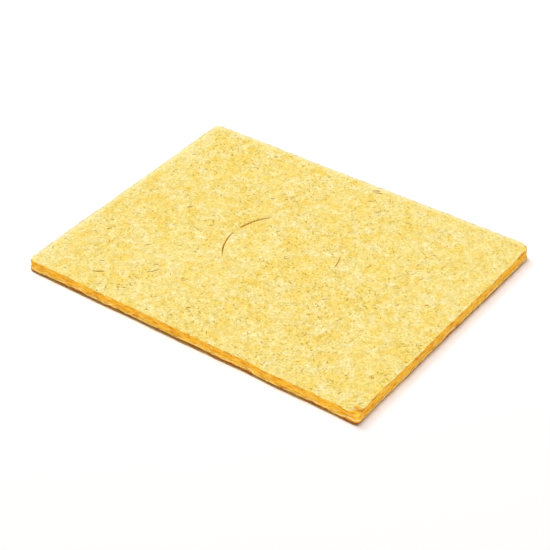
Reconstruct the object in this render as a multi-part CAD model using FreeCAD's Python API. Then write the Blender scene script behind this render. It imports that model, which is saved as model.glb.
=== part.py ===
"""Soldering-tip cleaning sponge: a dry, compressed cellulose pad for the tray of an iron stand.

The pad is a flat rectangle die-cut from one pressed sheet. A round plug in its middle is cut nearly
free: four short ties of uncut sponge still bridge the cut. The plug is pushed out before first use
and leaves a round hole that catches wiped-off solder.

Millimetres. +X runs along the long side, +Y along the short side and +Z up. The origin is the
middle of the pad, on the face that it lies on.
"""

import math
import os

import FreeCAD
import Part

# Driving dimensions of the pad
LENGTH = 70.0
WIDTH = 53.0
THICKNESS = 1.9
CORNER_RADIUS = 0.8
EDGE_ROUND = 0.25

# The round cut that frees the plug
CUT_DIAMETER = 20.9
CUT_OFFSET_Y = 0.7
KERF = 0.24
KERF_LIP = 0.12

# The uncut ties, which stay on the plug when it is pushed out
TIE_COUNT = 4
TIE_WIDTH = 1.6
TIE_TURN_DEG = -3.5
TIE_CLEARANCE = 0.03
TIE_ROOT = 0.96

# How far an edge's height may be off and still count as that height
HEIGHT_TOLERANCE = 1e-6

# Worked out from the driving dimensions
CUT_CENTRE = FreeCAD.Vector(0, CUT_OFFSET_Y, 0)
HOLE_RADIUS = (CUT_DIAMETER + KERF) / 2
PLUG_RADIUS = (CUT_DIAMETER - KERF) / 2
TIE_REACH = HOLE_RADIUS - TIE_CLEARANCE


def edges_at_height(shape, height):
    """The shape's edges that lie wholly at one height."""
    found = []
    for edge in shape.Edges:
        off = abs(edge.BoundBox.ZMin - height) + abs(edge.BoundBox.ZMax - height)
        if off < HEIGHT_TOLERANCE:
            found.append(edge)
    return found


def sheet_blank():
    """The rectangular slab with rounded corners and softened top and bottom rims."""
    slab = Part.makeBox(LENGTH, WIDTH, THICKNESS, FreeCAD.Vector(-LENGTH / 2, -WIDTH / 2, 0))
    uprights = [e for e in slab.Edges if e.BoundBox.ZLength > THICKNESS / 2]
    slab = slab.makeFillet(CORNER_RADIUS, uprights)
    rims = edges_at_height(slab, 0) + edges_at_height(slab, THICKNESS)
    return slab.makeFillet(EDGE_ROUND, rims)


def sponge_pad():
    """The slab with the hole that the cut makes, its upper lip opened a little by the blade."""
    hole = Part.makeCylinder(HOLE_RADIUS, THICKNESS, CUT_CENTRE)
    pad = sheet_blank().cut(hole)
    round_edges = [e for e in edges_at_height(pad, THICKNESS) if isinstance(e.Curve, Part.Circle)]
    lip = [e for e in round_edges if e.Curve.Radius > CORNER_RADIUS]
    return pad.makeChamfer(KERF_LIP, lip)


def tie(angle_deg):
    """One tie: a short block of sponge from inside the plug's rim out to the hole's wall."""
    root = PLUG_RADIUS - TIE_ROOT
    reach = math.sqrt(TIE_REACH**2 - (TIE_WIDTH / 2) ** 2)
    corner = FreeCAD.Vector(root, -TIE_WIDTH / 2, 0)
    block = Part.makeBox(reach - root, TIE_WIDTH, THICKNESS, corner)
    block.rotate(FreeCAD.Vector(0, 0, 0), FreeCAD.Vector(0, 0, 1), angle_deg)
    block.translate(CUT_CENTRE)
    return block


def centre_plug():
    """The round plug with its ties."""
    disc = Part.makeCylinder(PLUG_RADIUS, THICKNESS, CUT_CENTRE)
    disc = disc.makeChamfer(KERF_LIP, edges_at_height(disc, THICKNESS))
    ties = [tie(TIE_TURN_DEG + i * 360 / TIE_COUNT) for i in range(TIE_COUNT)]
    return disc.fuse(ties).removeSplitter()


def main():
    os.makedirs("parts", exist_ok=True)
    for name, shape in (("sponge_pad", sponge_pad()), ("centre_plug", centre_plug())):
        solid = shape.Solids[0]
        solid.exportStep(f"parts/{name}.step")
        print(name, "valid", solid.isValid(), "solids", len(shape.Solids))
        print("  volume in mm3", round(solid.Volume, 1))


main()
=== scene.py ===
"""A dry, pressed cellulose sponge for wiping soldering tips, on a white table.

Everything is in metres and in the frame of the CAD model: +X along the long side, +Y along the short
side, +Z up, and the table at z = 0. The pad and its part-cut centre plug are closed meshes built round
the sizes of their CAD solids. The loose fibres, the brown hairs and the fray along the cut edges are
meshes of their own, which lie in the skin or stand out of the edge.
"""

import itertools
import math

import bpy
import numpy as np
from mathutils import Matrix, Vector


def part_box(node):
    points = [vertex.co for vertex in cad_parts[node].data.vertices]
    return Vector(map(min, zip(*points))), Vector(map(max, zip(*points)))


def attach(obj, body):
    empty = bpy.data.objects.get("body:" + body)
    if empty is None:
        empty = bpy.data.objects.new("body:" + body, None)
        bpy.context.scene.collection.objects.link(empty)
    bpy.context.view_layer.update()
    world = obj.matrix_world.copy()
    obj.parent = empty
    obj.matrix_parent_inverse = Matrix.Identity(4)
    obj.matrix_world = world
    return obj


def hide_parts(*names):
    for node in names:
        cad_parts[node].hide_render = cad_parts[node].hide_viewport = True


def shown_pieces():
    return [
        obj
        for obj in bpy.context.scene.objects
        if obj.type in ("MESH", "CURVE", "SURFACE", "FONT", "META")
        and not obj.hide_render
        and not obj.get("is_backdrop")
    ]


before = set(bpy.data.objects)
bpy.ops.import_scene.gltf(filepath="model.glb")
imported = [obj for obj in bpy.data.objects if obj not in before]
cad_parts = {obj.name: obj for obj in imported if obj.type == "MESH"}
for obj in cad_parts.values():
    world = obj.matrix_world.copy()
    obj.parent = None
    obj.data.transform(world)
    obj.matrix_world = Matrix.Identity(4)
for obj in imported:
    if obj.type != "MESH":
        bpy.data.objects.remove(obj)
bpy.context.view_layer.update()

MM = 0.001
UP = np.array([0.0, 0.0, 1.0])

# The sheet, from the CAD's own box
PAD_LOW, PAD_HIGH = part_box("sponge_pad")
HALF_LENGTH = (PAD_HIGH.x - PAD_LOW.x) / 2
HALF_WIDTH = (PAD_HIGH.y - PAD_LOW.y) / 2
THICKNESS = PAD_HIGH.z - PAD_LOW.z

# Each corner: its side in x and in y, how far wear has rounded it, and how far it has taken the skin off
CORNERS = (
    (1, 1, 1.7 * MM, 1.2 * MM),  # right back
    (-1, 1, 0.35 * MM, 0.1 * MM),  # left back
    (-1, -1, 0.8 * MM, 0.4 * MM),  # left front
    (1, -1, 0.55 * MM, 2.4 * MM),  # right front
)
CORNER_POINTS = 24
# How bare the worn corners are, and how ragged the skin ends round them
CORNER_BARENESS = 0.7
CORNER_RAGGED = 0.3 * MM

# How the dry sheet has warped: it stands on two opposite corners and lifts towards the others
CORNER_LIFT = 0.02 * MM
EDGE_LIFT = 0.015 * MM
# Relief of the skin and of the underside, from the broadest lumps to the finest
SKIN_WAVES = 0.035 * MM
SKIN_BLOTCHES = 0.028 * MM
SKIN_FELT = 0.016 * MM
UNDER_BLOTCHES = 0.03 * MM
UNDER_FELT = 0.014 * MM
UNDER_STAND_OFF = 0.02 * MM

# How far the pressed edges bulge past their nominal lines, and how much further on the two long sides
EDGE_BULGE = 0.11 * MM
LONG_EDGE_BULGE = 0.11 * MM
# How far the outline waves in and out, and how far it is nibbled
EDGE_WAVES = 0.075 * MM
EDGE_NIBBLES = 0.05 * MM
# How far in from its top the foot of the cut edge stands, at the middle of each side
EDGE_LEAN = 0.08 * MM
# How deep the middle of the cut edge is hollowed, streaked and crumbled
EDGE_HOLLOW = 0.05 * MM
EDGE_STREAKS = 0.045 * MM
EDGE_CRUMBS = 0.03 * MM

# The round cut. Angles are in degrees from +X towards +Y
CUT_RADIUS = 10.45 * MM
CUT_CENTRE = np.array([0.0, 0.7 * MM])
CUT_NIBBLES = 0.02 * MM
# How wide the cut is where it is shut, and where it stands open by a share of 1
SHUT_GAP = 0.012 * MM
OPEN_GAP = 0.30 * MM
# Where the cut stands open: first angle, last angle, the fade at each of them, share of OPEN_GAP
SLITS = (
    (135.0, 173.0, 10.0, 2.0, 1.2),
    (180.5, 226.0, 3.0, 16.0, 0.50),
    (7.0, 27.0, 5.0, 8.0, 0.36),
)
# Where the skin has been dragged down over the wall of the cut: middle angle and half the spread. Then the
# fade at each end, and how bare the wall stays there
DRAGGED = (156.0, 19.0)
DRAGGED_FADE = 2.0
DRAGGED_BARENESS = 0.5
# Where the cut has scuffed the skin beside it: middle angle, half the spread, and how far through the skin
SCUFFED = (
    (238.0, 20.0, 0.42),
    (203.0, 22.0, 0.45),
)
TIE_ANGLES = (86.5, 176.5, 266.5, 356.5)
TIE_HALF_ANGLE = 4.4
TIE_FADE = 0.6
TIE_STANDS_OUT = 0.09 * MM
# How deep the plug's wall is torn where a tie joins it
TIE_TEAR = 0.05 * MM

# Mesh resolution: steps round the pad and the plug, and rows across each of their faces
PAD_STEPS = 920
PAD_TOP_ROWS = 56
PAD_WALL_ROWS = 18
# More than 1 brings the rows of the edge closer together towards the lower lip
PAD_WALL_CROWDING = 1.4
PAD_UNDER_ROWS = 14
PLUG_STEPS = 480
PLUG_TOP_ROWS = 34
PLUG_UNDER_ROWS = 12
HOLE_WALL_ROWS = 5
RIM_STEPS = 4

# Radii of the rims: round the top and how uneven it is, at the foot, and round the cut, open and shut.
# FOOT_STEP is how far in from the foot the underside starts
TOP_RIM = 0.26 * MM
TOP_RIM_UNEVEN = 0.55
LOWER_RIM = 0.015 * MM
FOOT_STEP = 0.15 * MM
SLIT_RIM = 0.12 * MM
SHUT_RIM = 0.004 * MM
# How bare the top rim starts, and how much of that the fluff hides on the two back edges
RIM_BARENESS = 0.22
RIM_FLUFF_COVER = 0.75
# Shares of the way out over the top, and down the edge, between which the fluff shows
FLUFF_ON_TOP = 0.95
FLUFF_ON_EDGE = 0.3

# The flared lower lip: its height, how far it flares out and how unevenly, and how far it ends above the
# underside in broad rises, in a fine fringe and in notches
LIP_HEIGHT = 0.16 * MM
LIP_REACH = 0.11 * MM
LIP_REACH_UNEVEN = 0.08 * MM
LIP_RISES = 0.36 * MM
LIP_FRINGE = 0.05 * MM
LIP_NOTCHES = 0.3 * MM
# How much the lip and the fluff each hide of the bare cut, how bare the turn below the lip is (past 1 it also
# takes a painted shade, a darker red-orange), and how much of the lip's cream the walls of the round cut show
LIP_COVER = 0.6
FLUFF_COVER = 0.5
UNDER_LIP_BARENESS_AND_SHADE = 1.4
CUT_WALL_CREAM = 0.25

# Loose fibres and hairs: how far they keep from the round cut and from the edge, how long, wide and curled
# they are, how many of their radii their middles lie in the skin, and how they wander. Widths and radii
# without MM are in mm
CLEAR_OF_CUT = 0.22 * MM
CLEAR_OF_EDGE = 0.35 * MM
FIBRE_LENGTH = (0.7 * MM, 2.4 * MM)
FIBRE_WIDTH = (0.03 * MM, 0.075 * MM)
FIBRE_CURL = 1.2
FIBRE_SINK = 0.1
HAIR_LEAST_LENGTH = 0.45 * MM
HAIR_MORE_LENGTH = 0.32 * MM
HAIR_WIDTH = (0.09, 0.14)
HAIR_CURL = 0.9
HAIR_SINK = -0.2
WANDER = 0.16
MARKED_WANDER = 0.04
# Lines tried for each one that is wanted, so that enough are clear: on the pad, and on the plug
TRIES = (2, 14)
FRAY_RADIUS = (0.018, 0.035)
# How far the ends of the fray are rooted in the edge, how far its middle sags, and how it slopes
FRAY_ROOT = 0.06 * MM
FRAY_SAG = 0.05 * MM
FRAY_SLOPE = 0.06
FRAY_OFF_TABLE = 0.01 * MM
# Hairs that catch the eye, in mm: middle x and y, length, heading and turn in degrees, and width
MARKED_HAIRS = (
    (-22.7, -22.3, 2.6, 25, 25, 0.19),
    (-21.8, 1.9, 1.4, 50, -15, 0.17),
    (3.4, 25.4, 1.6, 44, -12, 0.18),
    (4.1, 25.0, 2.1, 21, -10, 0.15),
    (-11.0, 12.6, 1.3, 20, 20, 0.12),
)

# Camera
LENS_MM = 107.9
SENSOR_MM = 36.0
AIM = Vector((3.15 * MM, -5.46 * MM, 1.85 * MM))
AZIMUTH_DEG = 38.08
ELEVATION_DEG = 37.47
ROLL_DEG = 1.99
DISTANCE = 284.4 * MM
CLIP_START = 0.01

# Light. Each lamp's level is how bright a white table would look under it alone
SKY_COLOUR = (1.0, 0.95, 0.90, 1.0)
SKY_LEVEL = 0.03
BACKDROP_COLOUR = (0.80, 0.79, 0.78, 1.0)
STRIP_PLACE = Vector((-0.34, 0.43, 1.36))
STRIP_SIZE = (0.80, 0.20)
STRIP_LEVEL = 0.57
STRIP_COLOUR = (1.0, 0.985, 0.98)
TABLE_WASH_LEVEL = 0.285
LEFT_PLACE = Vector((-1.50, 0.80, 1.50))
LEFT_SIZE = (0.90, 0.75)
LEFT_LEVEL = 0.345
LEFT_COLOUR = (0.96, 0.98, 1.0)
FILL_PLACE = Vector((1.30, -1.36, 0.46))
FILL_SIZE = (1.80, 0.60)
FILL_LEVEL = 0.30
FILL_COLOUR = (1.0, 1.0, 1.0)

# The table: half of its side, and the sides on which its corners lie
TABLE_HALF = 0.9
TABLE_CORNERS = ((-1, -1), (1, -1), (1, 1), (-1, 1))


# ---------------------------------------------------------------- noise and smooth steps


class Grain:
    """Smooth seeded noise from -1 to 1. Its lumps are about size metres across, by axis."""

    LATTICE = 48

    def __init__(self, seed, size):
        rng = np.random.default_rng(seed)
        self.values = rng.uniform(-1, 1, (self.LATTICE,) * 3)
        self.size = np.array(size, float)

    def __call__(self, points):
        cell = points / self.size
        low = np.floor(cell).astype(int)
        part = cell - low
        part = part * part * (3 - 2 * part)
        total = np.zeros(points.shape[:-1])
        for corner in itertools.product((0, 1), repeat=3):
            weight = np.prod(np.where(corner, part, 1 - part), axis=-1)
            index = (low + corner) % self.LATTICE
            total += weight * self.values[index[..., 0], index[..., 1], index[..., 2]]
        return total


def smooth_step(low, high, value):
    """0 up to low, 1 from high on, and a smooth turn between them."""
    part = np.clip((value - low) / (high - low), 0, 1)
    return part * part * (3 - 2 * part)


def stacked(*parts):
    """Arrays of x, y and z as one array of points."""
    return np.stack(np.broadcast_arrays(*parts), axis=-1)


# ---------------------------------------------------------------- the shape of the sheet

BLOTCH_RELIEF = Grain(11, (3.1 * MM,) * 3)
FELT_RELIEF = Grain(12, (1.05 * MM,) * 3)
WAVE_RELIEF = Grain(13, (14 * MM,) * 3)
OUTLINE_WAVE = Grain(21, (6.5 * MM,) * 3)
OUTLINE_NIBBLE = Grain(22, (1.3 * MM,) * 3)
RIM_WEAR = Grain(23, (1.7 * MM,) * 3)
LIP_RAGGED = Grain(24, (0.75 * MM,) * 3)
STREAKS = Grain(31, (2.6 * MM, 2.6 * MM, 0.2 * MM))
CRUMBS = Grain(32, (0.55 * MM, 0.55 * MM, 0.22 * MM))
TEARS = Grain(33, (0.35 * MM,) * 3)


def warp(x, y):
    """How far the warped sheet stands off the table."""
    u = np.abs(x) / HALF_LENGTH
    v = np.abs(y) / HALF_WIDTH
    saddle = CORNER_LIFT * (1 + x * y / (HALF_LENGTH * HALF_WIDTH))
    outer = np.maximum(u, v) ** 4
    return saddle + EDGE_LIFT * outer * (1 - np.minimum(u, v) ** 2)


def skin_height(x, y):
    """Height of the top skin, with its waves and felted lumps."""
    at = stacked(x, y, THICKNESS)
    relief = SKIN_WAVES * WAVE_RELIEF(at) + SKIN_BLOTCHES * BLOTCH_RELIEF(at) + SKIN_FELT * FELT_RELIEF(at)
    return THICKNESS + warp(x, y) + relief


def underside_height(x, y):
    """Height of the underside. It never goes through the table."""
    at = stacked(x, y, -THICKNESS)
    relief = UNDER_BLOTCHES * BLOTCH_RELIEF(at) + UNDER_FELT * FELT_RELIEF(at)
    return np.maximum(warp(x, y) + UNDER_STAND_OFF + relief, 0.0)


def outline(steps):
    """Evenly spaced points round the sheet's edge, their outward normals and their distance along it."""
    points = []
    for turn, (side_x, side_y, radius, _) in enumerate(CORNERS):
        centre_x = side_x * (HALF_LENGTH - radius)
        centre_y = side_y * (HALF_WIDTH - radius)
        for i in range(CORNER_POINTS + 1):
            angle = math.radians(90) * (turn + i / CORNER_POINTS)
            points.append((centre_x + radius * math.cos(angle), centre_y + radius * math.sin(angle)))
    points = np.array(points + points[:1])
    along = np.concatenate([[0], np.cumsum(np.linalg.norm(np.diff(points, axis=0), axis=1))])
    at = np.linspace(0, along[-1], steps, endpoint=False)
    spots = np.stack([np.interp(at, along, points[:, k]) for k in range(2)], axis=1)
    ahead = np.roll(spots, -1, axis=0) - np.roll(spots, 1, axis=0)
    ahead /= np.linalg.norm(ahead, axis=1)[:, None]
    normals = np.stack([ahead[:, 1], -ahead[:, 0]], axis=1)
    return spots, normals, at


def worn_edge(spots, normals):
    """The outline as it really runs: bulged a little by the press, wavy and nibbled."""
    at = stacked(spots[:, 0], spots[:, 1], 0)
    wander = EDGE_WAVES * OUTLINE_WAVE(at) + EDGE_NIBBLES * OUTLINE_NIBBLE(at)
    bulge = EDGE_BULGE + LONG_EDGE_BULGE * normals[:, 1] ** 2
    return spots + normals * (wander + bulge)[:, None]


def on_back_edge(normals):
    """1 on the two back edges, where the skin has fluffed up pale, and 0 on the two front ones."""
    return smooth_step(-0.2, 0.2, normals[:, 1] - normals[:, 0])


def angle_between(theta, centre_deg):
    """How many degrees lie between the angle theta, in radians, and centre_deg."""
    return np.abs((np.degrees(theta) - centre_deg + 180) % 360 - 180)


def slit_openness(theta):
    """0 where the cut is shut, and up to each slit's own share where it stands open."""
    openness = np.zeros_like(theta)
    for first, last, first_fade, last_fade, share in SLITS:
        past = (np.degrees(theta) - first) % 360
        spread = last - first
        opening = smooth_step(0, first_fade, past) * (1 - smooth_step(spread - last_fade, spread, past))
        openness = np.maximum(openness, share * opening)
    return openness


def wall_bareness(theta):
    """1 where the wall of the cut is bare, and less where skin has been dragged down over it."""
    middle, half = DRAGGED
    clear = smooth_step(half - DRAGGED_FADE, half + DRAGGED_FADE, angle_between(theta, middle))
    return DRAGGED_BARENESS + (1 - DRAGGED_BARENESS) * clear


def scuff(theta):
    """How far the skin beside the cut is scuffed through."""
    through = np.zeros_like(theta)
    for middle, half, share in SCUFFED:
        near = 1 - smooth_step(0.3 * half, half, angle_between(theta, middle))
        through = np.maximum(through, share * near)
    return through


def tie_mask(theta):
    """1 on the four uncut ties and 0 elsewhere."""
    mask = np.zeros_like(theta)
    for centre in TIE_ANGLES:
        off = angle_between(theta, centre)
        mask = np.maximum(mask, 1 - smooth_step(TIE_HALF_ANGLE - TIE_FADE, TIE_HALF_ANGLE, off))
    return mask


def ray_at(theta):
    """Unit vectors out from the middle of the cut."""
    return np.stack([np.cos(theta), np.sin(theta)], axis=1)


def cut_rim(theta):
    """Radius of the rim round the cut at each angle."""
    return SLIT_RIM * np.sqrt(slit_openness(theta)) + SHUT_RIM


def cut_radii(theta):
    """(radius of the plug's wall, radius of the hole's wall) at each angle."""
    at = stacked(CUT_RADIUS * np.cos(theta), CUT_RADIUS * np.sin(theta), 0)
    middle = CUT_RADIUS + TIE_STANDS_OUT * tie_mask(theta) + CUT_NIBBLES * OUTLINE_NIBBLE(at)
    gap = SHUT_GAP + (OPEN_GAP - SHUT_GAP) * slit_openness(theta)
    return middle - gap / 2, middle + gap / 2


def lower_lip(at_edge):
    """(broad rises and fringe, notches, reach) of the lower lip at points along the edge."""
    rises = LIP_RISES * smooth_step(-0.25, 0.6, LIP_RAGGED(at_edge * 0.22))
    fringe = LIP_FRINGE * (1 + LIP_RAGGED(at_edge * 1.1))
    notches = LIP_NOTCHES * smooth_step(0.25, 0.65, LIP_RAGGED(at_edge * 1.2 + 1.0))
    reach = LIP_REACH + LIP_REACH_UNEVEN * LIP_RAGGED(at_edge * 0.7 + 2.0)
    return rises + fringe, notches, reach


# ---------------------------------------------------------------- meshes from rows of points


def add_float(mesh, name, values):
    attribute = mesh.attributes.new(name, "FLOAT", "POINT")
    attribute.data.foreach_set("value", np.asarray(values, np.float32).ravel())


def new_piece(name, points, faces, face_uv, sharp_rows=(), steps=0, **attributes):
    """A smooth-shaded mesh object. faces is a list of tuples, and face_uv holds one (u, v) for each of
    their corners. sharp_rows are the rows, of so many steps each, whose edges are creases."""
    mesh = bpy.data.meshes.new(name)
    mesh.from_pydata(points.reshape(-1, 3), [], faces)
    for key, values in attributes.items():
        add_float(mesh, key, values)
    layer = mesh.uv_layers.new(name="OFBake")
    layer.data.foreach_set("uv", np.asarray(face_uv, np.float32).ravel())
    mesh.polygons.foreach_set("use_smooth", np.ones(len(mesh.polygons), bool))
    mesh.update()
    if sharp_rows:
        ends = np.zeros(len(mesh.edges) * 2, int)
        mesh.edges.foreach_get("vertices", ends)
        row = ends.reshape(-1, 2) // steps
        crease = (row[:, 0] == row[:, 1]) & np.isin(row[:, 0], sharp_rows)
        mesh.attributes.new("sharp_edge", "BOOLEAN", "EDGE").data.foreach_set("value", crease)
    piece = bpy.data.objects.new(name, mesh)
    bpy.context.scene.collection.objects.link(piece)
    return piece


class Rows:
    """Rows of points, each row going once round, that make one closed skin."""

    def __init__(self):
        self.points = []
        self.cut = []
        self.lip = []
        self.pale = []
        self.part = []

    def on_skin(self, spot, part, height=skin_height, **marks):
        """One more row, laid on the skin or on the face that height gives."""
        self.add(spot, height(spot[:, 0], spot[:, 1]), part, **marks)

    def add(self, spot, z, part, cut=0.0, lip=0.0, pale=0.0):
        """One more row. part names the face that the strip between this row and the next belongs to."""
        points = stacked(spot[:, 0], spot[:, 1], z)
        self.points.append(points)
        for kept, mark in ((self.cut, cut), (self.lip, lip), (self.pale, pale)):
            kept.append(np.broadcast_to(mark, points.shape[:1]))
        self.part.append(part)


# Layouts, in shares of the square: how long a metre is on the pad's and on the plug's, and the margin
PLATE_SCALE = 10.6 / 1024 / MM
PLUG_SCALE = 11.0 / 512 / MM
PLATE_MARGIN = 0.008
# The pad's underside is laid out smaller. Its edge is cut into strips, side by side, before the hole's wall
UNDER_SHARE = 0.68
STRIP_LEFT = 0.76
STRIP_PITCH = 0.036
STRIPS = 4
HOLE_SHARE = 0.25
# The plug's wall is laid out in two strips above its faces
PLUG_STRIP_LENGTH = 0.96
PLUG_STRIP_BOTTOM = 0.55
PLUG_STRIP_PITCH = 0.2


def plate_uv(points, corner, scale):
    """Flat faces are laid out as seen from above, with their lower left corner at corner."""
    return corner + (points[..., :2] + np.array([HALF_LENGTH, HALF_WIDTH])) * scale


def ring_faces(rows, steps, uv_of, closed=True):
    """Quads between each row and the next, with their layout."""
    count = len(rows.points)
    faces = []
    layout = []
    for i in range(count if closed else count - 1):
        j = (i + 1) % count
        a = np.arange(steps)
        b = (a + 1) % steps
        faces.append(np.stack([i * steps + a, j * steps + a, j * steps + b, i * steps + b], axis=1))
        layout.append(uv_of(i, j, a, b))
    return np.concatenate(faces), np.concatenate(layout)


def face_corners(points, i, j, a, b):
    """The corners of the quads between rows i and j and steps a and b."""
    return np.stack([points[i, a], points[j, a], points[j, b], points[i, b]], axis=1)


def along_rows(points):
    """Distance from the first row to each row, down the sheet's section, averaged round."""
    gaps = np.linalg.norm(np.diff(points, axis=0), axis=2).mean(axis=1)
    return np.concatenate([[0], np.cumsum(gaps)])


def make_pad():
    """The sheet with its round hole, as one closed ring of rows: out over the top, down the edge, back
    underneath and up the wall of the hole."""
    spots, normals, along = outline(PAD_STEPS)
    theta = np.arctan2(spots[:, 1] - CUT_CENTRE[1], spots[:, 0] - CUT_CENTRE[0])
    _, hole = cut_radii(theta)
    ray = ray_at(theta)
    at_edge = stacked(spots[:, 0], spots[:, 1], 0)
    edge = worn_edge(spots, normals)
    rim = TOP_RIM * (1 + TOP_RIM_UNEVEN * RIM_WEAR(at_edge))
    inner_rim = cut_rim(theta)
    back = on_back_edge(normals)

    rows = Rows()
    # Across the top
    start = CUT_CENTRE + ray * (hole + inner_rim)[:, None]
    end = edge - normals * rim[:, None]
    for j in range(PAD_TOP_ROWS):
        part = j / PAD_TOP_ROWS
        spot = start + (end - start) * part
        scuffed = scuff(theta) * (j == 0)
        fluffed = back * smooth_step(FLUFF_ON_TOP, 1.0, part)
        rows.on_skin(spot, "top", cut=scuffed, pale=fluffed)
    # Over the rim
    top = skin_height(end[:, 0], end[:, 1])
    for j in range(RIM_STEPS):
        turn = math.radians(90) * j / RIM_STEPS
        spot = end + normals * (rim * math.sin(turn))[:, None]
        drop = rim * (1 - math.cos(turn))
        bare = (RIM_BARENESS + (1 - RIM_BARENESS) * j / RIM_STEPS) * (1 - RIM_FLUFF_COVER * back)
        part = "top" if j < RIM_STEPS - 1 else "wall"
        rows.add(spot, top - drop, part, cut=bare, pale=back)
    # Down the edge
    bottom = underside_height(edge[:, 0], edge[:, 1])
    ragged, notches, lip_reach = lower_lip(at_edge)
    low = bottom + LOWER_RIM + ragged + notches
    high = top - rim
    along_side = np.minimum(np.abs(spots[:, 0]) / HALF_LENGTH, np.abs(spots[:, 1]) / HALF_WIDTH)
    lean = EDGE_LEAN * (1 - along_side**2)
    for j in range(PAD_WALL_ROWS + 1):
        part = 1 - (1 - j / PAD_WALL_ROWS) ** PAD_WALL_CROWDING
        z = high + (low - high) * part
        here = stacked(edge[:, 0], edge[:, 1], z)
        lip = smooth_step(LIP_HEIGHT, 0.3 * LIP_HEIGHT, z - low)
        hollow = -EDGE_HOLLOW * math.sin(math.pi * part)
        out = hollow - lean * part + EDGE_STREAKS * STREAKS(here) + EDGE_CRUMBS * CRUMBS(here)
        spot = edge + normals * (out + lip_reach * lip)[:, None]
        fluffed = back * smooth_step(FLUFF_ON_EDGE, 0.0, part)
        bare = 1.0 - LIP_COVER * lip - FLUFF_COVER * fluffed
        rows.add(spot, z, "wall", cut=bare, lip=lip, pale=fluffed)
    lip_row = len(rows.points) - 1
    # Round the lower rim
    for j in range(1, RIM_STEPS):
        turn = math.radians(90) * j / RIM_STEPS
        spot = edge + normals * (lip_reach - lean - LOWER_RIM * (1 - math.cos(turn)))[:, None]
        z = low - (low - bottom) * math.sin(turn)
        part = "wall" if j < RIM_STEPS - 1 else "under"
        # The turn below the lip is marked past 1, which gives it a painted shade in the material
        rows.add(spot, z, part, cut=UNDER_LIP_BARENESS_AND_SHADE)
    # Back underneath
    start = edge - normals * (lean + FOOT_STEP)[:, None]
    end = CUT_CENTRE + ray * hole[:, None]
    for j in range(PAD_UNDER_ROWS + 1):
        spot = start + (end - start) * j / PAD_UNDER_ROWS
        rows.on_skin(spot, "under" if j < PAD_UNDER_ROWS else "hole", underside_height)
    # Up the wall of the hole
    floor = underside_height(end[:, 0], end[:, 1])
    ceiling = skin_height(end[:, 0], end[:, 1]) - inner_rim
    for j in range(1, HOLE_WALL_ROWS + 1):
        z = floor + (ceiling - floor) * j / HOLE_WALL_ROWS
        rows.add(end, z, "hole", cut=wall_bareness(theta), lip=CUT_WALL_CREAM)

    points = np.array(rows.points)
    depth = along_rows(points)
    wall_top = depth[rows.part.index("wall")]
    hole_bottom = depth[rows.part.index("hole")]
    length = along[1] * PAD_STEPS
    run = PAD_STEPS // STRIPS

    def layout(i, j, a, b):
        four = face_corners(points, i, j, a, b)
        if rows.part[i] == "top":
            return plate_uv(four, np.array([PLATE_MARGIN, PLATE_MARGIN]), PLATE_SCALE)
        if rows.part[i] == "under":
            corner = np.array([PLATE_MARGIN, 2 * PLATE_MARGIN + 2 * HALF_WIDTH * PLATE_SCALE])
            return plate_uv(four, corner, PLATE_SCALE * UNDER_SHARE)
        on_wall = rows.part[i] == "wall"
        strip = np.minimum(a // run, STRIPS - 1) if on_wall else np.full(len(a), STRIPS)
        lead = strip * run if on_wall else np.zeros(len(a), int)
        pitch = length / PAD_STEPS * PLATE_SCALE * (1 if on_wall else HOLE_SHARE)
        base = wall_top if on_wall else hole_bottom
        below = depth[j] if j > i else depth[i] + 0.1 * MM
        u = np.stack([np.full(len(a), d) for d in (depth[i], below, below, depth[i])], axis=1) - base
        v = np.stack([a - lead, a - lead, a + 1 - lead, a + 1 - lead], axis=1) * pitch
        left = STRIP_LEFT + strip[:, None] * STRIP_PITCH
        return np.stack([left + u * PLATE_SCALE, PLATE_MARGIN + v], axis=2)

    faces, face_uv = ring_faces(rows, PAD_STEPS, layout)
    # Wear has taken the skin off the corners
    for side_x, side_y, _, reach in CORNERS:
        corner = np.array([side_x * HALF_LENGTH, side_y * HALF_WIDTH])
        away = np.linalg.norm(points[..., :2] - corner, axis=2)
        ragged_away = away + CORNER_RAGGED * RIM_WEAR(points)
        worn = CORNER_BARENESS * (1 - smooth_step(0.5 * reach, 1.2 * reach, ragged_away))
        rows.cut = list(np.maximum(np.array(rows.cut), worn))
    creases = [0, lip_row, len(points) - 1]
    marks = {"cut_face": rows.cut, "lower_lip": rows.lip, "pale_fluff": rows.pale}
    return new_piece("pressed_pad", points, faces.tolist(), face_uv, creases, PAD_STEPS, **marks)


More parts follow.
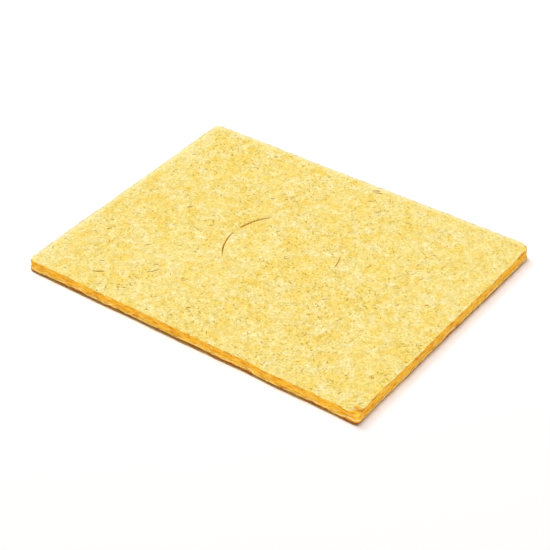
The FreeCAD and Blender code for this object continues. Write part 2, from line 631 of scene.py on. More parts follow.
def make_plug():
    """The round plug, from the middle of its top out, down its wall and back to the middle underneath."""
    theta = np.linspace(-math.pi, math.pi, PLUG_STEPS, endpoint=False)
    radius, _ = cut_radii(theta)
    ray = ray_at(theta)
    rim = cut_rim(theta)
    torn = tie_mask(theta)
    rows = Rows()
    for j in range(1, PLUG_TOP_ROWS + 1):
        spot = CUT_CENTRE + ray * ((radius - rim) * j / PLUG_TOP_ROWS)[:, None]
        rows.on_skin(spot, "top", cut=scuff(theta) * (j == PLUG_TOP_ROWS))
    wall = CUT_CENTRE + ray * radius[:, None]
    ceiling = skin_height(wall[:, 0], wall[:, 1]) - rim
    floor = underside_height(wall[:, 0], wall[:, 1])
    for j in range(HOLE_WALL_ROWS + 1):
        z = ceiling + (floor - ceiling) * j / HOLE_WALL_ROWS
        here = stacked(wall[:, 0], wall[:, 1], z)
        inset = TIE_TEAR * torn * (1 + TEARS(here)) * (0 < j < HOLE_WALL_ROWS)
        spot = wall - ray * inset[:, None]
        part = "wall" if j < HOLE_WALL_ROWS else "under"
        rows.add(spot, z, part, cut=wall_bareness(theta), lip=CUT_WALL_CREAM)
    for j in range(PLUG_UNDER_ROWS - 1, 0, -1):
        spot = CUT_CENTRE + ray * (radius * j / PLUG_UNDER_ROWS)[:, None]
        rows.on_skin(spot, "under", underside_height)

    points = np.array(rows.points)
    depth = along_rows(points)
    wall_top = depth[rows.part.index("wall")]
    reach = CUT_RADIUS + OPEN_GAP
    half = PLUG_STEPS // 2

    def flat(four, part):
        left = PLATE_MARGIN if part == "top" else 2 * PLATE_MARGIN + 2 * reach * PLUG_SCALE
        return np.array([left, PLATE_MARGIN]) + (four[..., :2] - CUT_CENTRE + reach) * PLUG_SCALE

    def layout(i, j, a, b):
        if rows.part[i] != "wall":
            return flat(face_corners(points, i, j, a, b), rows.part[i])
        strip = (a >= half).astype(int)
        lead = strip * half
        u = np.stack([a - lead, a - lead, a + 1 - lead, a + 1 - lead], axis=1) * (PLUG_STRIP_LENGTH / half)
        depths = (depth[i], depth[j], depth[j], depth[i])
        v = np.stack([np.full(len(a), d) for d in depths], axis=1) - wall_top
        bottom = PLUG_STRIP_BOTTOM + PLUG_STRIP_PITCH * strip[:, None]
        return np.stack([PLATE_MARGIN + u, bottom + v * 2 * PLUG_SCALE], axis=2)

    faces, face_uv = ring_faces(rows, PLUG_STEPS, layout, closed=False)
    middle = [
        [*CUT_CENTRE, float(skin_height(*CUT_CENTRE))],
        [*CUT_CENTRE, float(underside_height(*CUT_CENTRE))],
    ]
    last = len(rows.points) - 1
    top_middle = len(rows.points) * PLUG_STEPS
    a = np.arange(PLUG_STEPS)
    b = (a + 1) % PLUG_STEPS
    fans = []
    fan_uv = []
    for pole, row, part in ((0, 0, "top"), (1, last, "under")):
        hub = np.full(PLUG_STEPS, top_middle + pole)
        pair = (a, b) if pole == 0 else (b, a)
        fans.append(np.stack([hub, row * PLUG_STEPS + pair[0], row * PLUG_STEPS + pair[1]], axis=1))
        hub_at = np.broadcast_to(np.array(middle[pole]), (PLUG_STEPS, 3))
        fan_uv.append(flat(np.stack([hub_at, points[row, pair[0]], points[row, pair[1]]], axis=1), part))
    every = np.concatenate([points.reshape(-1, 3), middle])
    sides = faces.tolist() + np.concatenate(fans).tolist()
    uv = np.concatenate([face_uv.reshape(-1, 2), np.concatenate(fan_uv).reshape(-1, 2)])
    cut, lip = (np.concatenate([np.array(marks).ravel(), [0, 0]]) for marks in (rows.cut, rows.lip))
    creases = [PLUG_TOP_ROWS - 1, PLUG_TOP_ROWS]
    return new_piece("round_plug", every, sides, uv, creases, PLUG_STEPS, cut_face=cut, lower_lip=lip)


# ---------------------------------------------------------------- loose fibres

TUBE_SIDES = 3
# Each tube has a cell of its own in the layout, with this margin on every side as a share of the cell
CELL_MARGIN = 0.12


def tube_piece(name, lines, radii, tones):
    """Closed thin tubes as one mesh. lines is (tubes, points, 3), radii is (tubes, points) and tones has
    one for each tube."""
    count, steps = lines.shape[:2]
    ahead = np.gradient(lines, axis=1)
    ahead /= np.linalg.norm(ahead, axis=2)[..., None]
    side = np.cross(UP, ahead)
    side /= np.linalg.norm(side, axis=2)[..., None]
    lift = np.cross(ahead, side)
    turn = np.radians(90) + np.arange(TUBE_SIDES) * 2 * math.pi / TUBE_SIDES
    across = np.cos(turn)[:, None] * side[:, :, None] + np.sin(turn)[:, None] * lift[:, :, None]
    points = lines[:, :, None] + across * radii[:, :, None, None]

    columns = math.ceil(math.sqrt(count))
    cell = 1 / columns
    faces = []
    layout = []
    tube = np.arange(count)
    origin = np.stack([tube % columns, tube // columns], axis=1) * cell
    index = tube * steps * TUBE_SIDES

    def place(u, v):
        return origin + cell * (CELL_MARGIN + (1 - 2 * CELL_MARGIN) * np.array([u, v]))

    for i in range(steps - 1):
        for k in range(TUBE_SIDES):
            m = (k + 1) % TUBE_SIDES
            low = index + i * TUBE_SIDES
            high = low + TUBE_SIDES
            faces.append(np.stack([low + k, low + m, high + m, high + k], axis=1))
            u, w = i / (steps - 1), (i + 1) / (steps - 1)
            v, x = k / TUBE_SIDES, (k + 1) / TUBE_SIDES
            layout.append(np.stack([place(u, v), place(u, x), place(w, x), place(w, v)], axis=1))
    quads = np.concatenate(faces).tolist()
    quad_uv = np.concatenate(layout).reshape(-1, 2)
    caps = []
    cap_uv = []
    for i, order in ((0, reversed(range(TUBE_SIDES))), (steps - 1, range(TUBE_SIDES))):
        order = list(order)
        caps.append(np.stack([index + i * TUBE_SIDES + k for k in order], axis=1))
        u = i / (steps - 1)
        cap_uv.append(np.stack([place(u, k / TUBE_SIDES) for k in order], axis=1))
    uv = np.concatenate([quad_uv, np.concatenate(cap_uv).reshape(-1, 2)])
    tone = np.repeat(tones, steps * TUBE_SIDES)
    run = np.broadcast_to(np.linspace(0, 1, steps)[None, :, None], (count, steps, TUBE_SIDES))
    return new_piece(name, points, quads + np.concatenate(caps).tolist(), uv, tone=tone, run=run)


def in_sheet(x, y, inset):
    """Whether points lie on the sheet, at least inset from its edge."""
    return (np.abs(x) < HALF_LENGTH - inset) & (np.abs(y) < HALF_WIDTH - inset)


def from_cut(x, y):
    """Distance outwards from the round cut's line. It is negative on the plug."""
    return np.hypot(x - CUT_CENTRE[0], y - CUT_CENTRE[1]) - CUT_RADIUS


def scattered(rng, tries):
    """Random points all over the sheet, in plan."""
    x = rng.uniform(-HALF_LENGTH, HALF_LENGTH, tries)
    y = rng.uniform(-HALF_WIDTH, HALF_WIDTH, tries)
    return np.stack([x, y], axis=1)


def first_clear(plan, on_plug, count):
    """Indices of the first count lines that lie wholly on the plug, or on the pad, and clear of its edges."""
    off = from_cut(plan[..., 0], plan[..., 1])
    clear = (off < -CLEAR_OF_CUT) if on_plug else (off > CLEAR_OF_CUT)
    return np.flatnonzero((clear & in_sheet(plan[..., 0], plan[..., 1], CLEAR_OF_EDGE)).all(axis=1))[:count]


def curled_lines(rng, starts, headings, lengths, curls, steps, wander=WANDER):
    """Flat curved lines, in plan. curls is how far each turns over its length, in radians, and wander is how
    far it strays at each step."""
    part = np.linspace(0, 1, steps)
    wiggle = np.cumsum(rng.normal(0, 1, (len(starts), steps)), axis=1) * wander
    heading = headings[:, None] + curls[:, None] * part + wiggle
    pace = lengths[:, None] / (steps - 1)
    x = np.cumsum(np.cos(heading) * pace, axis=1)
    y = np.cumsum(np.sin(heading) * pace, axis=1)
    line = np.stack([x, y], axis=2)
    return starts[:, None] + line - line[:, steps // 2 : steps // 2 + 1]


def lay_on_skin(plan, radii, height, sink):
    """Lays plan lines on a skin: their middles lie sink radii into it and their ends go under."""
    steps = plan.shape[1]
    part = np.linspace(-1, 1, steps)
    dip = sink + 1.6 * part**6
    z = height(plan[..., 0], plan[..., 1]) - dip * radii
    return np.concatenate([plan, z[..., None]], axis=2)


def underside_depth(x, y):
    """The underside as a skin that faces up, for what is laid on it upside down."""
    return -underside_height(x, y)


def skin_fibres(name, seed, count, on_plug=False, underneath=False):
    """Fibres felted into the skin of the pad or of the plug, or into the pad's underside."""
    rng = np.random.default_rng(seed)
    steps = 7
    tries = count * TRIES[on_plug]
    starts = scattered(rng, tries)
    lengths = rng.uniform(*FIBRE_LENGTH, tries) * rng.uniform(0.5, 1, tries)
    headings = rng.uniform(0, 2 * math.pi, tries)
    plan = curled_lines(rng, starts, headings, lengths, rng.normal(0, FIBRE_CURL, tries), steps)
    kept = first_clear(plan, on_plug, count)
    plan = plan[kept]
    taper = 1 - 0.75 * np.abs(np.linspace(-1, 1, steps)) ** 3
    radii = rng.uniform(*FIBRE_WIDTH, len(kept))[:, None] / 2 * taper
    lines = lay_on_skin(plan, radii, underside_depth if underneath else skin_height, FIBRE_SINK)
    if underneath:
        lines[..., 2] = np.maximum(-lines[..., 2], radii)
    return tube_piece(name, lines, radii, rng.uniform(0, 1, len(kept)))


def brown_hairs(name, seed, count, on_plug=False):
    """Stray brown hairs lying on the skin: the marked ones, on the pad, and smaller ones at random."""
    rng = np.random.default_rng(seed)
    steps = 9
    tries = count * TRIES[on_plug]
    starts = scattered(rng, tries)
    lengths = HAIR_LEAST_LENGTH + rng.exponential(HAIR_MORE_LENGTH, tries)
    widths = rng.uniform(*HAIR_WIDTH, tries) * MM
    tones = rng.uniform(0, 1, tries)
    headings = rng.uniform(0, 2 * math.pi, tries)
    curls = rng.normal(0, HAIR_CURL, tries)
    wander = np.full((tries, 1), WANDER)
    hairs = [starts, lengths, headings, curls, widths, tones, wander]
    if not on_plug:
        x, y, length, heading, curl, width = np.array(MARKED_HAIRS, float).T
        place = np.stack([x, y], axis=1) * MM
        tone = np.zeros(len(x))
        stray = np.full((len(x), 1), MARKED_WANDER)
        marked = (place, length * MM, np.radians(heading), np.radians(curl), width * MM, tone, stray)
        hairs = [np.concatenate(pair) for pair in zip(marked, hairs)]
    starts, lengths, headings, curls, widths, tones, wander = hairs
    plan = curled_lines(rng, starts, headings, lengths, curls, steps, wander)
    kept = first_clear(plan, on_plug, count)
    taper = 1 - 0.7 * np.abs(np.linspace(-1, 1, steps)) ** 2
    radii = widths[kept][:, None] / 2 * taper
    lines = lay_on_skin(plan[kept], radii, skin_height, HAIR_SINK)
    return tube_piece(name, lines, radii, tones[kept])


def edge_fray(name, seed, count, band, reach, length, on_back):
    """Short fibres that stand out of the cut edge. band is their lowest and highest place, as shares of the
    edge's height, and on_back is the share of them on the two back edges. reach and length are in mm."""
    rng = np.random.default_rng(seed)
    steps = 5
    spots, normals, _ = outline(PAD_STEPS)
    edge = worn_edge(spots, normals)
    straight = np.abs(normals).max(axis=1) > 0.999
    weight = straight * np.where(on_back_edge(normals) > 0.5, on_back, 1 - on_back)
    pick = rng.choice(PAD_STEPS, count, p=weight / weight.sum())
    along = np.stack([-normals[pick, 1], normals[pick, 0]], axis=1)
    lengths = rng.uniform(*length, count) * MM
    reaches = rng.uniform(*reach, count) * MM
    part = np.linspace(0, 1, steps)
    bow = np.sin(math.pi * part)
    plan = (
        edge[pick][:, None]
        + along[:, None] * (lengths[:, None] * (part - 0.5))[..., None]
        + normals[pick][:, None] * (reaches[:, None] * bow - FRAY_ROOT)[..., None]
    )
    bottom = underside_height(edge[pick, 0], edge[pick, 1])
    slope = rng.normal(0, FRAY_SLOPE, count)
    height = bottom + rng.uniform(*band, count) * THICKNESS
    z = height[:, None] + (slope * lengths)[:, None] * (part - 0.5) - FRAY_SAG * bow
    taper = 1 - 0.6 * np.abs(part * 2 - 1) ** 2
    radii = rng.uniform(*FRAY_RADIUS, count)[:, None] * MM * taper
    z = np.maximum(z, radii + FRAY_OFF_TABLE)
    return tube_piece(name, np.concatenate([plan, z[..., None]], axis=2), radii, rng.uniform(0, 1, count))


# ---------------------------------------------------------------- shader building blocks


def put(tree, kind, inputs=None, **settings):
    """A node with its settings made. inputs gives each input's value, or the output that feeds it."""
    node = tree.nodes.new(kind)
    for key, value in settings.items():
        setattr(node, key, value)
    for key, value in (inputs or {}).items():
        socket = node.inputs[key]
        if isinstance(value, bpy.types.NodeSocket):
            tree.links.new(value, socket)
        else:
            socket.default_value = value
    return node


def maths(tree, operation, a, b=0.0, clamp=False):
    """The result of one Math node."""
    return put(tree, "ShaderNodeMath", {0: a, 1: b}, operation=operation, use_clamp=clamp).outputs[0]


def remap(tree, value, low, high, to_low=0.0, to_high=1.0):
    """value taken smoothly from the range low to high into another range, and held at its ends."""
    inputs = {"Value": value, "From Min": low, "From Max": high, "To Min": to_low, "To Max": to_high}
    return put(tree, "ShaderNodeMapRange", inputs, interpolation_type="SMOOTHSTEP").outputs["Result"]


def product(tree, a, b, clamp=False):
    """The product of two values."""
    return maths(tree, "MULTIPLY", a, b, clamp)


def total(tree, a, b, clamp=False):
    """The sum of two values."""
    return maths(tree, "ADD", a, b, clamp)


def joined(tree, operation, values):
    """Several values joined one after another by Math nodes."""
    result = values[0]
    for value in values[1:]:
        result = maths(tree, operation, result, value)
    return result


def vector_maths(tree, operation, a, b):
    """The result of one Vector Math node. b is a vector, or the factor to scale by."""
    second = "Scale" if operation == "SCALE" else 1
    return put(tree, "ShaderNodeVectorMath", {0: a, second: b}, operation=operation).outputs[0]


def wobbled(tree, vector, scale, reach):
    """A vector pushed about by noise, by half of reach at the most."""
    push = put(tree, "ShaderNodeTexNoise", {"Vector": vector, "Scale": scale, "Detail": 1.0})
    offset = vector_maths(tree, "SUBTRACT", push.outputs["Color"], (0.5, 0.5, 0.5))
    return vector_maths(tree, "ADD", vector, vector_maths(tree, "SCALE", offset, reach))


def mesh_mark(tree, name):
    """A value that the mesh carries at each of its points."""
    return put(tree, "ShaderNodeAttribute", attribute_name=name).outputs["Fac"]


def noise(tree, vector, scale, detail=2.0, roughness=0.5, distortion=0.0):
    inputs = {"Vector": vector, "Scale": scale, "Detail": detail, "Roughness": roughness}
    return put(tree, "ShaderNodeTexNoise", {**inputs, "Distortion": distortion}).outputs["Fac"]


def blend_colours(tree, share, a, b, blend="MIX"):
    """The result of one colour Mix node."""
    return put(tree, "ShaderNodeMix", {0: share, 6: a, 7: b}, data_type="RGBA", blend_type=blend).outputs[2]


def shaded(tree, base, shade, powers):
    """A colour darkened by shade: its red as it is, its green and blue with the powers of it."""
    channels = {0: shade}
    for channel, power in enumerate(powers, 1):
        channels[channel] = maths(tree, "POWER", shade, power)
    factors = put(tree, "ShaderNodeCombineColor", channels).outputs[0]
    return blend_colours(tree, 1.0, base, factors, "MULTIPLY")


def new_group(name, inputs, outputs):
    """An empty node group with named sockets. inputs is {name: (type, value)} and outputs is {name: type}."""
    tree = bpy.data.node_groups.new(name, "ShaderNodeTree")
    for key, (kind, value) in inputs.items():
        socket = tree.interface.new_socket(name=key, in_out="INPUT", socket_type="NodeSocket" + kind)
        if value is not None:
            socket.default_value = value
    for key, kind in outputs.items():
        tree.interface.new_socket(name=key, in_out="OUTPUT", socket_type="NodeSocket" + kind)
    return tree, tree.nodes.new("NodeGroupInput").outputs, tree.nodes.new("NodeGroupOutput").inputs


def use_group(tree, group, **inputs):
    """The outputs of a group placed in a tree. Underscores in the names of inputs stand for spaces."""
    named = {key.replace("_", " "): value for key, value in inputs.items()}
    return put(tree, "ShaderNodeGroup", named, node_tree=group).outputs


# The directions in which the felted fibres run, in degrees
FIBRE_DIRECTIONS = (8, 52, 97, 141)


def felted_fibres_group():
    """Fine crossed fibres: long thin noise laid in four directions, each bent a little."""
    tree, given, out = new_group(
        "felted fibres",
        {"Vector": ("Vector", None), "Spacing": ("Float", 4200.0), "Stretch": ("Float", 0.13)},
        {"Fibres": "Float"},
    )
    bent = wobbled(tree, given["Vector"], 420.0, 1.6 * MM)
    squeeze = put(tree, "ShaderNodeCombineXYZ", {"X": given["Stretch"], "Y": 1.0, "Z": 0.6}).outputs[0]
    strands = []
    for index, angle in enumerate(FIBRE_DIRECTIONS):
        turn = {"Vector": bent, "Rotation": (0.0, 0.0, math.radians(angle))}
        turned = put(tree, "ShaderNodeMapping", turn).outputs[0]
        shifted = vector_maths(tree, "ADD", turned, (0.031 * index, 0.017, 0.0))
        long = vector_maths(tree, "MULTIPLY", shifted, squeeze)
        strands.append(noise(tree, long, given["Spacing"], 1.0))
    mean = product(tree, joined(tree, "ADD", strands), 1 / len(FIBRE_DIRECTIONS))
    tree.links.new(remap(tree, mean, 0.36, 0.64), out["Fibres"])
    return tree


def mottle_group():
    """Soft patches a few millimetres across, where the skin is creamy and where its yellow runs deep."""
    tree, given, out = new_group(
        "skin mottle",
        {"Vector": ("Vector", None), "Scale": ("Float", 380.0)},
        {"Deep yellow": "Float", "Cream": "Float", "Patches": "Float"},
    )
    broad = noise(tree, given["Vector"], product(tree, given["Scale"], 0.22), 1.0)
    patch = noise(tree, given["Vector"], given["Scale"], 2.0, 0.55, 0.7)
    other = vector_maths(tree, "ADD", given["Vector"], (0.4, 0.1, 0.2))
    fleck = noise(tree, other, product(tree, given["Scale"], 1.35), 1.0, 0.4, 0.3)
    mixed = total(tree, product(tree, patch, 0.85), product(tree, broad, 0.15))
    tree.links.new(remap(tree, mixed, 0.40, 0.64), out["Deep yellow"])
    tree.links.new(remap(tree, fleck, 0.48, 0.74), out["Cream"])
    tree.links.new(mixed, out["Patches"])
    return tree


def specks_group():
    """Tiny dark dashes and pores: one in each of some of the cells, of odd shapes and sizes."""
    tree, given, out = new_group(
        "specks",
        {
            "Vector": ("Vector", None),
            "Turn": ("Float", 0.0),
            "Scale": ("Float", 1100.0),
            "Stretch": ("Float", 0.5),
            "Share": ("Float", 0.35),
            "Size": ("Float", 0.2),
        },
        {"Specks": "Float", "Stains": "Float"},
    )
    place = wobbled(tree, given["Vector"], 3600.0, 0.4 * MM)
    turn = put(tree, "ShaderNodeCombineXYZ", {"X": 0.0, "Y": 0.0, "Z": given["Turn"]}).outputs[0]
    turning = {"Vector": place, "Rotation": turn}
    turned = put(tree, "ShaderNodeVectorRotate", turning, rotation_type="EULER_XYZ").outputs[0]
    squeeze = put(tree, "ShaderNodeCombineXYZ", {"X": given["Stretch"], "Y": 1.0, "Z": 1.0}).outputs[0]
    drawn = {"Vector": vector_maths(tree, "MULTIPLY", turned, squeeze), "Scale": given["Scale"]}
    cell = put(tree, "ShaderNodeTexVoronoi", drawn, voronoi_dimensions="2D")
    dice = put(tree, "ShaderNodeSeparateColor", {"Color": cell.outputs["Color"]}).outputs
    present = maths(tree, "LESS_THAN", dice[0], given["Share"])
    size = product(tree, given["Size"], total(tree, 0.45, dice[1]))
    near = maths(tree, "DIVIDE", cell.outputs["Distance"], size)
    strength = total(tree, 0.3, product(tree, dice[2], 0.7))
    shown = product(tree, present, strength)
    for name, inner, outer in (("Specks", 0.35, 1.0), ("Stains", 0.7, 2.2)):
        tree.links.new(product(tree, remap(tree, near, inner, outer, 1.0, 0.0), shown), out[name])
    return tree


def colour(red, green, blue):
    """A screen colour, 0 to 255, as linear RGBA."""
    def linear(value):
        share = value / 255
        return share / 12.92 if share <= 0.04045 else ((share + 0.055) / 1.055) ** 2.4
    return (linear(red), linear(green), linear(blue), 1.0)


SKIN_YELLOW = colour(239, 218, 138)
SKIN_DEEP = colour(239, 205, 91)
SKIN_CREAM = colour(242, 230, 178)
SPECK_OLIVE = colour(184, 151, 0)
SPECK_STAIN = colour(236, 208, 40)
FLUFF_PALE = colour(248, 240, 190)
CUT_ORANGE = colour(244, 186, 46)
CUT_DARK = colour(208, 126, 10)
CUT_LIGHT = colour(251, 212, 98)
LIP_CREAM = colour(253, 226, 146)
# Painted shade: the darker red-orange of the turn below the lip, where the shadow band under the edge falls
CUT_UNDER_LIP_PAINTED_SHADE = colour(232, 150, 36)


# How much of each colour comes into the skin
DEEP_SHARE = 0.73
CREAM_SHARE = 0.5
STAIN_SHARE = 0.16
FLUFF_SHARE = 0.45
# How the fibres and a finer grain shade the skin, and the powers of that shade for green and for blue
FIBRE_SHADE = (0.885, 1.07)
GRAIN_SCALE = 2900.0
GRAIN_SHADE = 0.065
SKIN_POWERS = (1.25, 2.6)
# Where the specks crowd together and where they thin out
CROWD_SCALE = 150.0
CROWDING = (0.55, 1.1)
# The pressed layers and the torn patches of a cut face, and how it darkens from DARKENS_FROM up to the skin
LAYER_SCALE = 3200.0
LAYER_STRETCH = (0.19, 0.19, 1.35)
RAGGED_SCALE = 1700.0
RAGGED_STRETCH = (0.35, 0.35, 1.0)
RAGGED_DEPTH = 0.22
CUT_LIGHT_SHARE = 0.6
DARKENS_FROM = 0.5 * MM
TOP_DARKENING = 0.92
CUT_POWERS = (1.6, 3.0)
# Relief in the material, as shares of its bump
FIBRE_HEIGHT = 0.55
PATCH_HEIGHT = 0.5
PORE_DEPTH = 0.6
LAYER_HEIGHT = 0.8

# Each layer of specks: turn in radians, cells per metre, how drawn out, share of cells, size, strength
SPECK_LAYERS = (
    (0.35, 1600.0, 0.33, 0.42, 0.195, 1.0),
    (1.40, 1700.0, 0.36, 0.38, 0.195, 1.0),
    (2.50, 1800.0, 0.33, 0.38, 0.195, 0.95),
    (0.90, 2500.0, 0.60, 0.42, 0.27, 0.7),
)


def plain_material(name):
    material = bpy.data.materials.new(name)
    material.use_nodes = True
    tree = material.node_tree
    tree.nodes.clear()
    shader = put(tree, "ShaderNodeBsdfPrincipled")
    put(tree, "ShaderNodeOutputMaterial", {"Surface": shader.outputs[0]})
    return material, tree, shader


def feed(tree, shader, **links):
    """Links outputs to the shader's inputs. Underscores in their names stand for spaces."""
    for key, value in links.items():
        tree.links.new(value, shader.inputs[key.replace("_", " ")])


def set_inputs(shader, **values):
    """Sets the shader's own inputs. Underscores in their names stand for spaces."""
    for key, value in values.items():
        shader.inputs[key.replace("_", " ")].default_value = value


def speckled(tree, place, specks):
    """(specks, stains round them) of all the layers together."""
    spots = []
    stains = []
    for turn, scale, stretch, share, size, strength in SPECK_LAYERS:
        given = {"Turn": turn, "Scale": scale, "Stretch": stretch, "Share": share, "Size": size}
        layer = use_group(tree, specks, Vector=place, **given)
        spots.append(product(tree, layer["Specks"], strength))
        stains.append(layer["Stains"])
    return joined(tree, "MAXIMUM", spots), joined(tree, "MAXIMUM", stains)


def skin_colour(tree, place, fibres, mottle, spotted, stained):
    """The felted skin: yellow and cream mottle, shaded by its fibres, with stains, specks and pale fluff."""
    skin = blend_colours(tree, product(tree, mottle["Deep yellow"], DEEP_SHARE), SKIN_YELLOW, SKIN_DEEP)
    skin = blend_colours(tree, product(tree, mottle["Cream"], CREAM_SHARE), skin, SKIN_CREAM)
    grain = remap(tree, noise(tree, place, GRAIN_SCALE, 2.0, 0.6), 0.3, 0.7, -GRAIN_SHADE, GRAIN_SHADE)
    shade = total(tree, remap(tree, fibres, 0.0, 1.0, *FIBRE_SHADE), grain)
    skin = shaded(tree, skin, shade, SKIN_POWERS)
    skin = blend_colours(tree, product(tree, stained, STAIN_SHARE), skin, SPECK_STAIN)
    skin = blend_colours(tree, spotted, skin, SPECK_OLIVE)
    return blend_colours(tree, product(tree, mesh_mark(tree, "pale_fluff"), FLUFF_SHARE), skin, FLUFF_PALE)


def cut_colour(tree, place, layers, ragged, bare):
    """A cut face, which shows the pressed layers edge on, with the cream of the lower lip and a painted
    shade, a darker red-orange, on the turn below it.
    """
    cut = blend_colours(tree, remap(tree, layers, 0.36, 0.53), CUT_DARK, CUT_ORANGE)
    cut = blend_colours(tree, remap(tree, ragged, 0.5, 0.66, 0.0, CUT_LIGHT_SHARE), cut, CUT_LIGHT)
    level = put(tree, "ShaderNodeSeparateXYZ", {"Vector": place}).outputs["Z"]
    # The cut face grows darker towards its top, up to the skin
    darker_upward = remap(tree, level, DARKENS_FROM, THICKNESS, 1.0, TOP_DARKENING)
    cut = shaded(tree, cut, darker_upward, CUT_POWERS)
    lip_shows = product(tree, mesh_mark(tree, "lower_lip"), remap(tree, ragged, 0.3, 0.55, 0.25, 1.0))
    cut = blend_colours(tree, lip_shows, cut, LIP_CREAM)
    # Painted shade: past 1 the cut face turns to the darker red-orange below the lip
    return blend_colours(tree, remap(tree, bare, 1.0, 1.3), cut, CUT_UNDER_LIP_PAINTED_SHADE)


def pressed_cellulose(groups):
    """The sponge itself: pale felted skin, and deep orange where a blade has cut it."""
    material, tree, shader = plain_material("pressed_cellulose")
    place = put(tree, "ShaderNodeTexCoord").outputs["Object"]
    fibres = use_group(tree, groups["fibres"], Vector=place)["Fibres"]
    mottle = use_group(tree, groups["mottle"], Vector=place)
    spotted, stained = speckled(tree, place, groups["specks"])
    crowded = remap(tree, noise(tree, place, CROWD_SCALE, 1.0), 0.35, 0.62, *CROWDING)
    spotted = product(tree, spotted, crowded, clamp=True)
    layers_at = put(tree, "ShaderNodeMapping", {"Vector": place, "Scale": LAYER_STRETCH}).outputs[0]
    layers = noise(tree, layers_at, LAYER_SCALE, 3.0, 0.65, 0.5)
    ragged_at = put(tree, "ShaderNodeMapping", {"Vector": place, "Scale": RAGGED_STRETCH}).outputs[0]
    ragged = noise(tree, ragged_at, RAGGED_SCALE, 3.0, 0.6, 0.6)

    bare = mesh_mark(tree, "cut_face")
    torn = total(tree, bare, remap(tree, ragged, 0.3, 0.7, -RAGGED_DEPTH, RAGGED_DEPTH))
    bare_mask = remap(tree, torn, 0.34, 0.62)
    skin = skin_colour(tree, place, fibres, mottle, spotted, stained)
    base = blend_colours(tree, bare_mask, skin, cut_colour(tree, place, layers, ragged, bare))

    height = total(tree, product(tree, fibres, FIBRE_HEIGHT), product(tree, mottle["Patches"], PATCH_HEIGHT))
    height = maths(tree, "SUBTRACT", height, product(tree, spotted, PORE_DEPTH))
    height = total(tree, height, product(tree, layers, product(tree, bare_mask, LAYER_HEIGHT)))
    bump = put(tree, "ShaderNodeBump", {"Height": height, "Strength": 0.7, "Distance": 0.12 * MM})
    roughness = remap(tree, fibres, 0.0, 1.0, 0.86, 1.0)
    feed(tree, shader, Base_Color=base, Roughness=roughness, Normal=bump.outputs[0])
    set_inputs(shader, Specular_IOR_Level=0.08, Sheen_Weight=0.04, Sheen_Roughness=0.6)
    return material


def fibre_material(name, groups, dark, light, roughness):
    """A fibre's own material: its tone differs from fibre to fibre and along its length."""
    material, tree, shader = plain_material(name)
    place = put(tree, "ShaderNodeTexCoord").outputs["Object"]
    fine = use_group(tree, groups["fibres"], Vector=place, Spacing=9000.0, Stretch=0.3)["Fibres"]
    tone = product(tree, mesh_mark(tree, "tone"), 0.75)
    share = total(tree, tone, product(tree, fine, 0.25), clamp=True)
    base = blend_colours(tree, share, dark, light)
    bump = put(tree, "ShaderNodeBump", {"Height": fine, "Strength": 0.4, "Distance": 0.03 * MM})
    rough = remap(tree, fine, 0.0, 1.0, roughness - 0.08, roughness + 0.06)
    feed(tree, shader, Base_Color=base, Roughness=rough, Normal=bump.outputs[0])
    set_inputs(shader, Specular_IOR_Level=0.05)
    return material


def table_material():
    """A matt white table, very slightly uneven."""
    material, tree, shader = plain_material("white_table")
    place = put(tree, "ShaderNodeTexCoord").outputs["Object"]
    cloud = noise(tree, place, 14.0, 3.0)
    base = blend_colours(tree, cloud, (0.95, 0.901, 0.889, 1.0), (0.96, 0.916, 0.904, 1.0))
    feed(tree, shader, Base_Color=base)
    set_inputs(shader, Roughness=0.8, Specular_IOR_Level=0.1)
    return material


# ---------------------------------------------------------------- table, light and camera


def make_table():
    corners = [(side_x * TABLE_HALF, side_y * TABLE_HALF, 0) for side_x, side_y in TABLE_CORNERS]
    mesh = bpy.data.meshes.new("table_top")
    mesh.from_pydata(corners, [], [range(len(corners))])
    table = bpy.data.objects.new("table_top", mesh)
    bpy.context.scene.collection.objects.link(table)
    mesh.materials.append(table_material())
    table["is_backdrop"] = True
    return table


def soft_lamp(name, place, size, level, tint, only=None):
    """A rectangular soft light that points at the sponge, its first side level. It may light only some
    objects."""
    lamp = bpy.data.lights.new(name, "AREA")
    lamp.shape = "RECTANGLE"
    lamp.size, lamp.size_y = size
    lamp.energy = level * math.pi**2 * place.length_squared * place.length / place.z
    lamp.color = tint
    holder = bpy.data.objects.new(name, lamp)
    back = place.normalized()
    upward = Vector((0, 1, 0)) if abs(back.x) < abs(back.y) else Vector((0, 0, 1))
    level_side = upward.cross(back)
    level_side.normalize()
    turn = Matrix((level_side, back.cross(level_side), back)).transposed()
    holder.matrix_world = Matrix.Translation(place) @ turn.to_4x4()
    holder.visible_camera = False
    bpy.context.scene.collection.objects.link(holder)
    if only is not None:
        lit = bpy.data.collections.new("lit by " + name)
        for piece in only:
            lit.objects.link(piece)
        holder.light_linking.receiver_collection = lit


def make_light(table, sponge_pieces):
    """A dim surround, a pale backdrop that only the camera sees, and four soft lamps."""
    world = bpy.data.worlds.new("white tent")
    world.use_nodes = True
    tree = world.node_tree
    tree.nodes.clear()
    glow = put(tree, "ShaderNodeBackground", {"Color": SKY_COLOUR, "Strength": SKY_LEVEL})
    backdrop = put(tree, "ShaderNodeBackground", {"Color": BACKDROP_COLOUR, "Strength": 1.0})
    seen = put(tree, "ShaderNodeLightPath").outputs["Is Camera Ray"]
    either = put(tree, "ShaderNodeMixShader", {0: seen, 1: glow.outputs[0], 2: backdrop.outputs[0]})
    put(tree, "ShaderNodeOutputWorld", {"Surface": either.outputs[0]})
    bpy.context.scene.world = world
    soft_lamp("strip_light", STRIP_PLACE, STRIP_SIZE, STRIP_LEVEL, STRIP_COLOUR)
    soft_lamp("left_light", LEFT_PLACE, LEFT_SIZE, LEFT_LEVEL, LEFT_COLOUR)
    soft_lamp("table_wash", STRIP_PLACE, STRIP_SIZE, TABLE_WASH_LEVEL, STRIP_COLOUR, [table])
    soft_lamp("edge_fill", FILL_PLACE, FILL_SIZE, FILL_LEVEL, FILL_COLOUR, sponge_pieces)


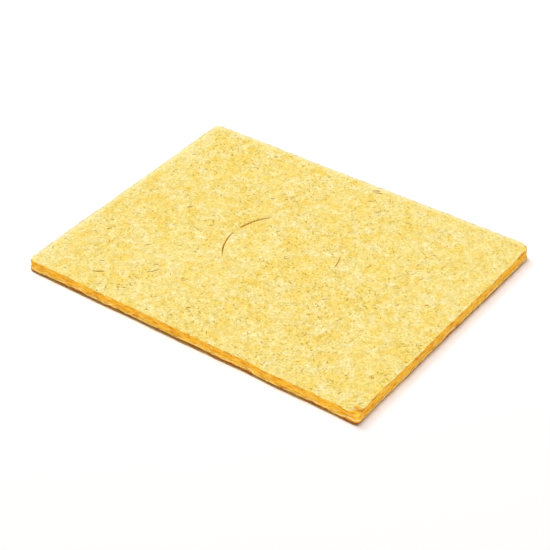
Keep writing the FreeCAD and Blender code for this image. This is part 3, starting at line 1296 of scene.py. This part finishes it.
def make_camera():
    azimuth = math.radians(AZIMUTH_DEG)
    elevation = math.radians(ELEVATION_DEG)
    flat = math.cos(elevation)
    back = Vector((math.sin(azimuth) * flat, -math.cos(azimuth) * flat, math.sin(elevation)))
    level = Vector((math.cos(azimuth), math.sin(azimuth), 0.0))
    upright = back.cross(level)
    roll = math.radians(ROLL_DEG)
    right = level * math.cos(roll) - upright * math.sin(roll)
    above = back.cross(right)
    lens = bpy.data.cameras.new("camera")
    lens.lens = LENS_MM
    lens.sensor_width = SENSOR_MM
    lens.clip_start = CLIP_START
    camera = bpy.data.objects.new("camera", lens)
    turn = Matrix((right, above, back)).transposed()
    camera.matrix_world = Matrix.Translation(AIM + back * DISTANCE) @ turn.to_4x4()
    bpy.context.scene.collection.objects.link(camera)
    bpy.context.scene.camera = camera


# ---------------------------------------------------------------- putting it together


def wear(piece, material, body):
    """Gives a piece its material and the body that it rides on."""
    piece.data.materials.append(material)
    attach(piece, body)


def main():
    groups = {"fibres": felted_fibres_group(), "mottle": mottle_group(), "specks": specks_group()}
    sponge = pressed_cellulose(groups)
    cream = fibre_material("cream_fibre", groups, colour(228, 196, 92), colour(246, 228, 146), 0.9)
    brown = fibre_material("brown_hair", groups, colour(116, 66, 0), colour(182, 122, 10), 0.7)
    torn = fibre_material("torn_strand", groups, colour(208, 128, 26), colour(248, 190, 76), 0.9)
    fluff = fibre_material("pale_fluff", groups, colour(248, 234, 174), colour(252, 245, 208), 0.9)

    pad = make_pad()
    plug = make_plug()
    wear(pad, sponge, "pad")
    wear(plug, sponge, "plug")
    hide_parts("sponge_pad")
    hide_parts("centre_plug")

    wear(skin_fibres("pad_fibres", 41, 3200), cream, "pad")
    wear(skin_fibres("plug_fibres", 42, 330, on_plug=True), cream, "plug")
    wear(skin_fibres("pad_under_fibres", 43, 1200, underneath=True), cream, "pad")
    wear(brown_hairs("pad_hairs", 44, 260), brown, "pad")
    wear(brown_hairs("plug_hairs", 45, 26, on_plug=True), brown, "plug")
    # Name, seed, count, band, reach, length, share on the back edges, material
    frays = (
        ("lip_fray", 46, 300, (0.04, 0.18), (0.02, 0.16), (0.5, 1.6), 0.5, torn),
        ("wall_fray", 47, 160, (0.18, 0.9), (0.0, 0.08), (0.4, 1.4), 0.5, cream),
        ("rim_fluff", 48, 1500, (0.9, 1.02), (0.05, 0.26), (0.3, 0.9), 1.0, fluff),
        # Shreds of lifted skin along the top rim, dark brown as a painted shade for the shadow line under
        # them
        ("rim_shreds", 49, 16, (0.96, 1.03), (0.0, 0.05), (0.5, 1.8), 0.04, brown),
    )
    for *given, material in frays:
        wear(edge_fray(*given), material, "pad")

    table = make_table()
    make_light(table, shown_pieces())
    make_camera()
    bpy.context.scene.view_settings.view_transform = "Standard"


main()
